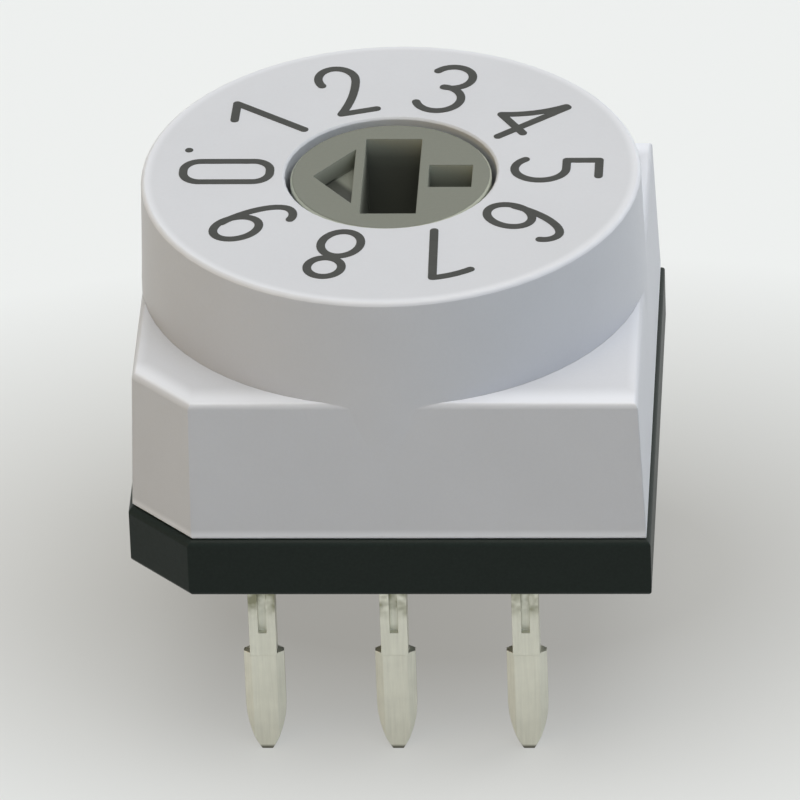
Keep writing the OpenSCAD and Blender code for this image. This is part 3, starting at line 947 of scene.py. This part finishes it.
def make_sky(stage):
    """Soft light from all round, brighter on the side of its slope and warmer from the front left.

    The camera and reflections see the pale backdrop instead where they look past the floor.
    """
    world = bpy.data.worlds.new("studio")
    bpy.context.scene.world = world
    world.use_nodes = True
    tree = world.node_tree
    way = add_node(tree, "ShaderNodeTexCoord").outputs["Generated"]
    light = tree.nodes["Background"]
    warmth = rise(tree, dot_product(tree, way, FRONT_LEFT), -0.2, 0.9, soft=False)
    tree.links.new(blend_colours(tree, warmth, stage.sky, stage.warm_sky), light.inputs["Color"])
    slope = dot_product(tree, way, stage.sky_slope)
    strength = rise(tree, slope, -1.0, 1.0, high=2.0 * stage.sky_level, soft=False)
    tree.links.new(strength, light.inputs["Strength"])
    seen = add_node(tree, "ShaderNodeBackground", {"Color": stage.backdrop, "Strength": 1.0}).outputs[0]
    mix = add_node(tree, "ShaderNodeMixShader", {0: sight_rays(tree), 1: light.outputs[0], 2: seen})
    tree.links.new(mix.outputs[0], tree.nodes["World Output"].inputs["Surface"])


def place_round(distance, turn, elevation):
    """Place at this distance from the origin, turned from the front to the right, and above the horizon."""
    level = distance * math.cos(elevation)
    return Vector((level * math.sin(turn), -level * math.cos(turn), distance * math.sin(elevation)))


def add_softbox(name, azimuth, elevation, size, level, tint):
    """Square area lamp that faces the object. At a level of 1, a face turned to it shows its full colour."""
    place = place_round(LAMP_DISTANCE, math.radians(azimuth), math.radians(elevation))
    bpy.ops.object.light_add(type="AREA", location=place, rotation=place.to_track_quat("Z", "Y").to_euler())
    lamp = bpy.context.object
    lamp.name = name
    lamp.data.size = size
    lamp.data.energy = level * (math.pi * LAMP_DISTANCE) ** 2
    lamp.data.color = tint


def make_camera(stage):
    """Camera that looks down at the switch, and leans a little as the photo's does."""
    aim = Vector((stage.aim_x, 0, stage.aim_z))
    away = place_round(stage.distance, stage.turn, stage.elevation)
    facing = away.to_track_quat("Z", "Y").to_matrix() @ Matrix.Rotation(-stage.roll, 3, "Z")
    bpy.ops.object.camera_add(location=aim + away, rotation=facing.to_euler())
    camera = bpy.context.object
    camera.data.lens = stage.lens
    camera.data.clip_start = 0.05
    camera.data.clip_end = 5
    bpy.context.scene.camera = camera


class SWITCH_OT_stage(bpy.types.Operator):
    """Set up the floor, the soft light and the camera"""

    bl_idname = "switch.stage"
    bl_label = "Studio"

    def execute(self, context):
        stage = context.scene.switch_stage
        make_floor(stage)
        make_sky(stage)
        add_softbox("key", 0, 80, 0.6, stage.key_level, (1.0, 0.96, 0.88))
        add_softbox("right", 70, 60, 0.5, stage.right_level, (0.82, 0.87, 0.93))
        add_softbox("side", 125, 33, 0.4, stage.side_level, (1.0, 0.95, 0.9))
        add_softbox("rear", 180, 60, 0.5, stage.rear_level, (1.0, 1.0, 1.0))
        add_softbox("cool_front", 22, 20, 0.7, stage.cool_level, (0.4, 0.66, 1.0))
        add_softbox("warm_left", -60, 15, 0.4, stage.warm_level, (1.0, 0.6, 0.15))
        make_camera(stage)
        context.scene.view_settings.view_transform = "Standard"
        return {"FINISHED"}


MAKERS = (
    SWITCH_OT_numerals, SWITCH_OT_index_dot, SWITCH_OT_finish_housing, SWITCH_OT_finish_base,
    SWITCH_OT_finish_rotor, SWITCH_OT_finish_terminals, SWITCH_OT_finish_works, SWITCH_OT_finish_seals,
    SWITCH_OT_stage,
)


class VIEW3D_PT_switch(bpy.types.Panel):
    """Settings and makers of the switch's looks"""

    bl_label = "Rotary DIP switch"
    bl_space_type = "VIEW_3D"
    bl_region_type = "UI"
    bl_category = "Switch"

    def draw(self, context):
        layout = self.layout
        for maker in MAKERS:
            layout.operator(maker.bl_idname)
        for label, settings in (
            ("Dial print", context.scene.switch_print),
            ("Finishes", context.scene.switch_finish),
            ("Studio", context.scene.switch_stage),
        ):
            box = layout.box()
            box.label(text=label)
            for key in settings.__annotations__:
                box.prop(settings, key)


CLASSES = (DialPrintSettings, FinishSettings, StageSettings, *MAKERS, VIEW3D_PT_switch)


def register():
    for cls in CLASSES:
        bpy.utils.register_class(cls)
    bpy.types.Scene.switch_print = PointerProperty(type=DialPrintSettings)
    bpy.types.Scene.switch_finish = PointerProperty(type=FinishSettings)
    bpy.types.Scene.switch_stage = PointerProperty(type=StageSettings)


def unregister():
    for name in ("switch_stage", "switch_finish", "switch_print"):
        delattr(bpy.types.Scene, name)
    for cls in reversed(CLASSES):
        bpy.utils.unregister_class(cls)


def main():
    register()
    bpy.ops.switch.numerals()
    bpy.ops.switch.index_dot()
    bpy.ops.switch.finish_housing()
    bpy.ops.switch.finish_base()
    bpy.ops.switch.finish_rotor()
    bpy.ops.switch.finish_terminals()
    bpy.ops.switch.finish_works()
    bpy.ops.switch.finish_seals()
    bpy.ops.switch.stage()


if __name__ == "__main__":
    main()
